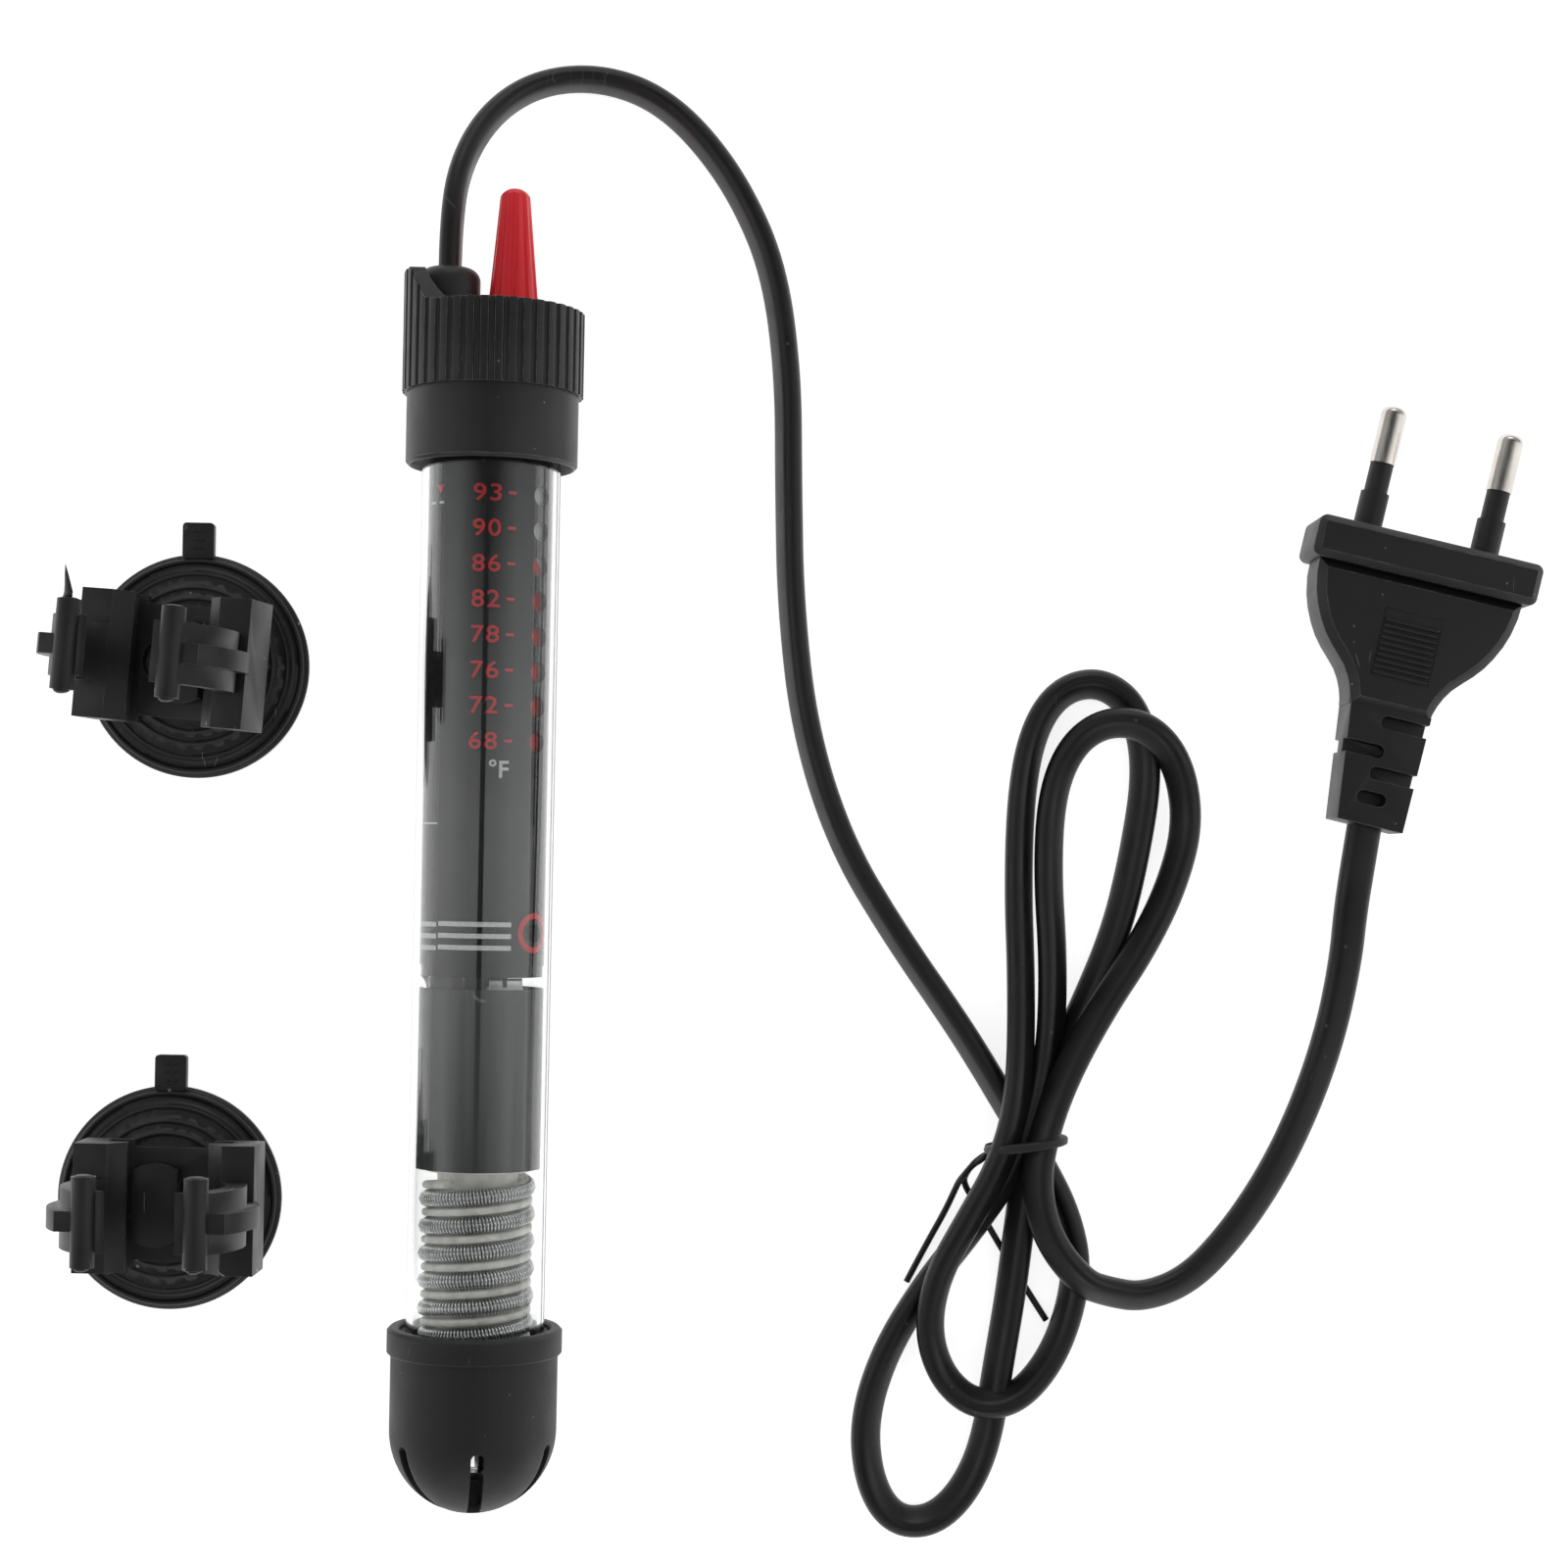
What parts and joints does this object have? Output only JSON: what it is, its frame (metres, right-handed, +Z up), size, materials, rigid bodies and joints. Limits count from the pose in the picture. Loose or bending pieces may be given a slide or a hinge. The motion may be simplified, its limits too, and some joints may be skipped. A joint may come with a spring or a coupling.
{
  "type": "submersible aquarium heater",
  "caption": "Thermostatic glass-tube aquarium heater with a turning knob, slotted end guard, suction-cup clips and a tied flat cord with a two-pin plug.",
  "frame": {"origin": "centre of the footprint of the heater and its two brackets, on the surface they lie on", "axes": "+Y along the heater from the guard to the knob, +Z up from the surface, +X towards the cord's hank and plug"},
  "size_m": [0.2275, 0.2282, 0.0342],
  "materials": {
    "clear_glass": "polished",
    "sleeve_black": "gloss",
    "drum_red": "satin",
    "knob_red": "satin",
    "brass": "machined",
    "black_rubber": "matte",
    "gland_rubber": "matte",
    "cup_rubber": "satin",
    "collar_black": "satin",
    "guard_black": "fine grain",
    "clip_black": "satin",
    "plug_black": "satin",
    "cord_black": "satin",
    "tie_black": "satin",
    "spring_steel": "satin",
    "shield_grey": "satin",
    "former_ceramic": "unglazed",
    "resistance_wire": "drawn",
    "carrier_board": "moulded",
    "contact_silver": "polished",
    "magnet_steel": "ground",
    "resistor_body": "coated",
    "pin_nickel": "plated"
  },
  "bodies": {
    "heater": {"glass_tube": "clear_glass", "scale_sleeve": "sleeve_black", "adjuster_nut": "brass", "spindle_bush": "brass", "spindle_seal": "black_rubber", "stopper_seal": "black_rubber", "head_plug": "black_rubber", "cord_gland": "gland_rubber", "collar": "collar_black", "carrier": "sleeve_black", "end_flange": "sleeve_black", "leaf_spring": "spring_steel", "heat_shield": "shield_grey", "ceramic_former": "former_ceramic", "heating_coil": "resistance_wire", "former_rod": "spring_steel", "coil_leads": "resistance_wire", "mains_leads": "cord_black", "thermostat_base": "carrier_board", "bimetal_post": "spring_steel", "contact_arm": "brass", "fixed_contact": "contact_silver", "snap_magnet": "magnet_steel", "indicator_lamp": "clear_glass", "lamp_resistor": "resistor_body", "plug_body": "plug_black", "pin_sleeves": "plug_black", "plug_pin_left": "pin_nickel", "plug_pin_right": "pin_nickel", "cord_feed": "cord_black", "cord_hank": "cord_black", "cord_tail": "cord_black", "hank_tie": "tie_black"},
    "knob": {"control_knob": "knob_red", "knob_spindle": "brass", "setting_drum": "drum_red"},
    "bimetal": {"bimetal_strip": "spring_steel", "moving_contact": "contact_silver"},
    "guard": {"guard": "guard_black", "guard_ring": "black_rubber", "guard_pad": "black_rubber"},
    "cup_upper": {"suction_cup_upper": "cup_rubber"},
    "clip_upper": {"clip_upper": "clip_black"},
    "cup_lower": {"suction_cup_lower": "cup_rubber"},
    "clip_lower": {"clip_lower": "clip_black"}
  },
  "joints": [
    {"name": "knob_turn", "type": "hinge", "parent": "heater", "child": "knob", "pos_m": [0.02955, 0.085, 0.0137], "axis": [0, -1, 0], "range_deg": [-214, 86]},
    {"name": "thermostat_bend", "type": "hinge", "parent": "heater", "child": "bimetal", "pos_m": [0.02775, -0.0119, 0.012], "axis": [1, 0, 0], "range_deg": [0, 3]},
    {"name": "guard_pull", "type": "slide", "parent": "heater", "child": "guard", "axis": [0, -1, 0], "range_m": [0, 0.035]},
    {"name": "bracket_upper_lift", "type": "slide", "parent": "heater", "child": "cup_upper", "axis": [0, 0, 1], "range_m": [0, 0.06]},
    {"name": "clip_upper_swivel", "type": "hinge", "parent": "cup_upper", "child": "clip_upper", "pos_m": [-0.02022, 0.028, 0.00917], "axis": [-0.1903, 0.0133, 0.9816], "range_deg": [-70, 70]},
    {"name": "bracket_lower_lift", "type": "slide", "parent": "heater", "child": "cup_lower", "axis": [0, 0, 1], "range_m": [0, 0.06]},
    {"name": "clip_lower_swivel", "type": "hinge", "parent": "cup_lower", "child": "clip_lower", "pos_m": [-0.0229, -0.0553, 0.009], "axis": [0, 0, 1], "range_deg": [-70, 70]}
  ]
}
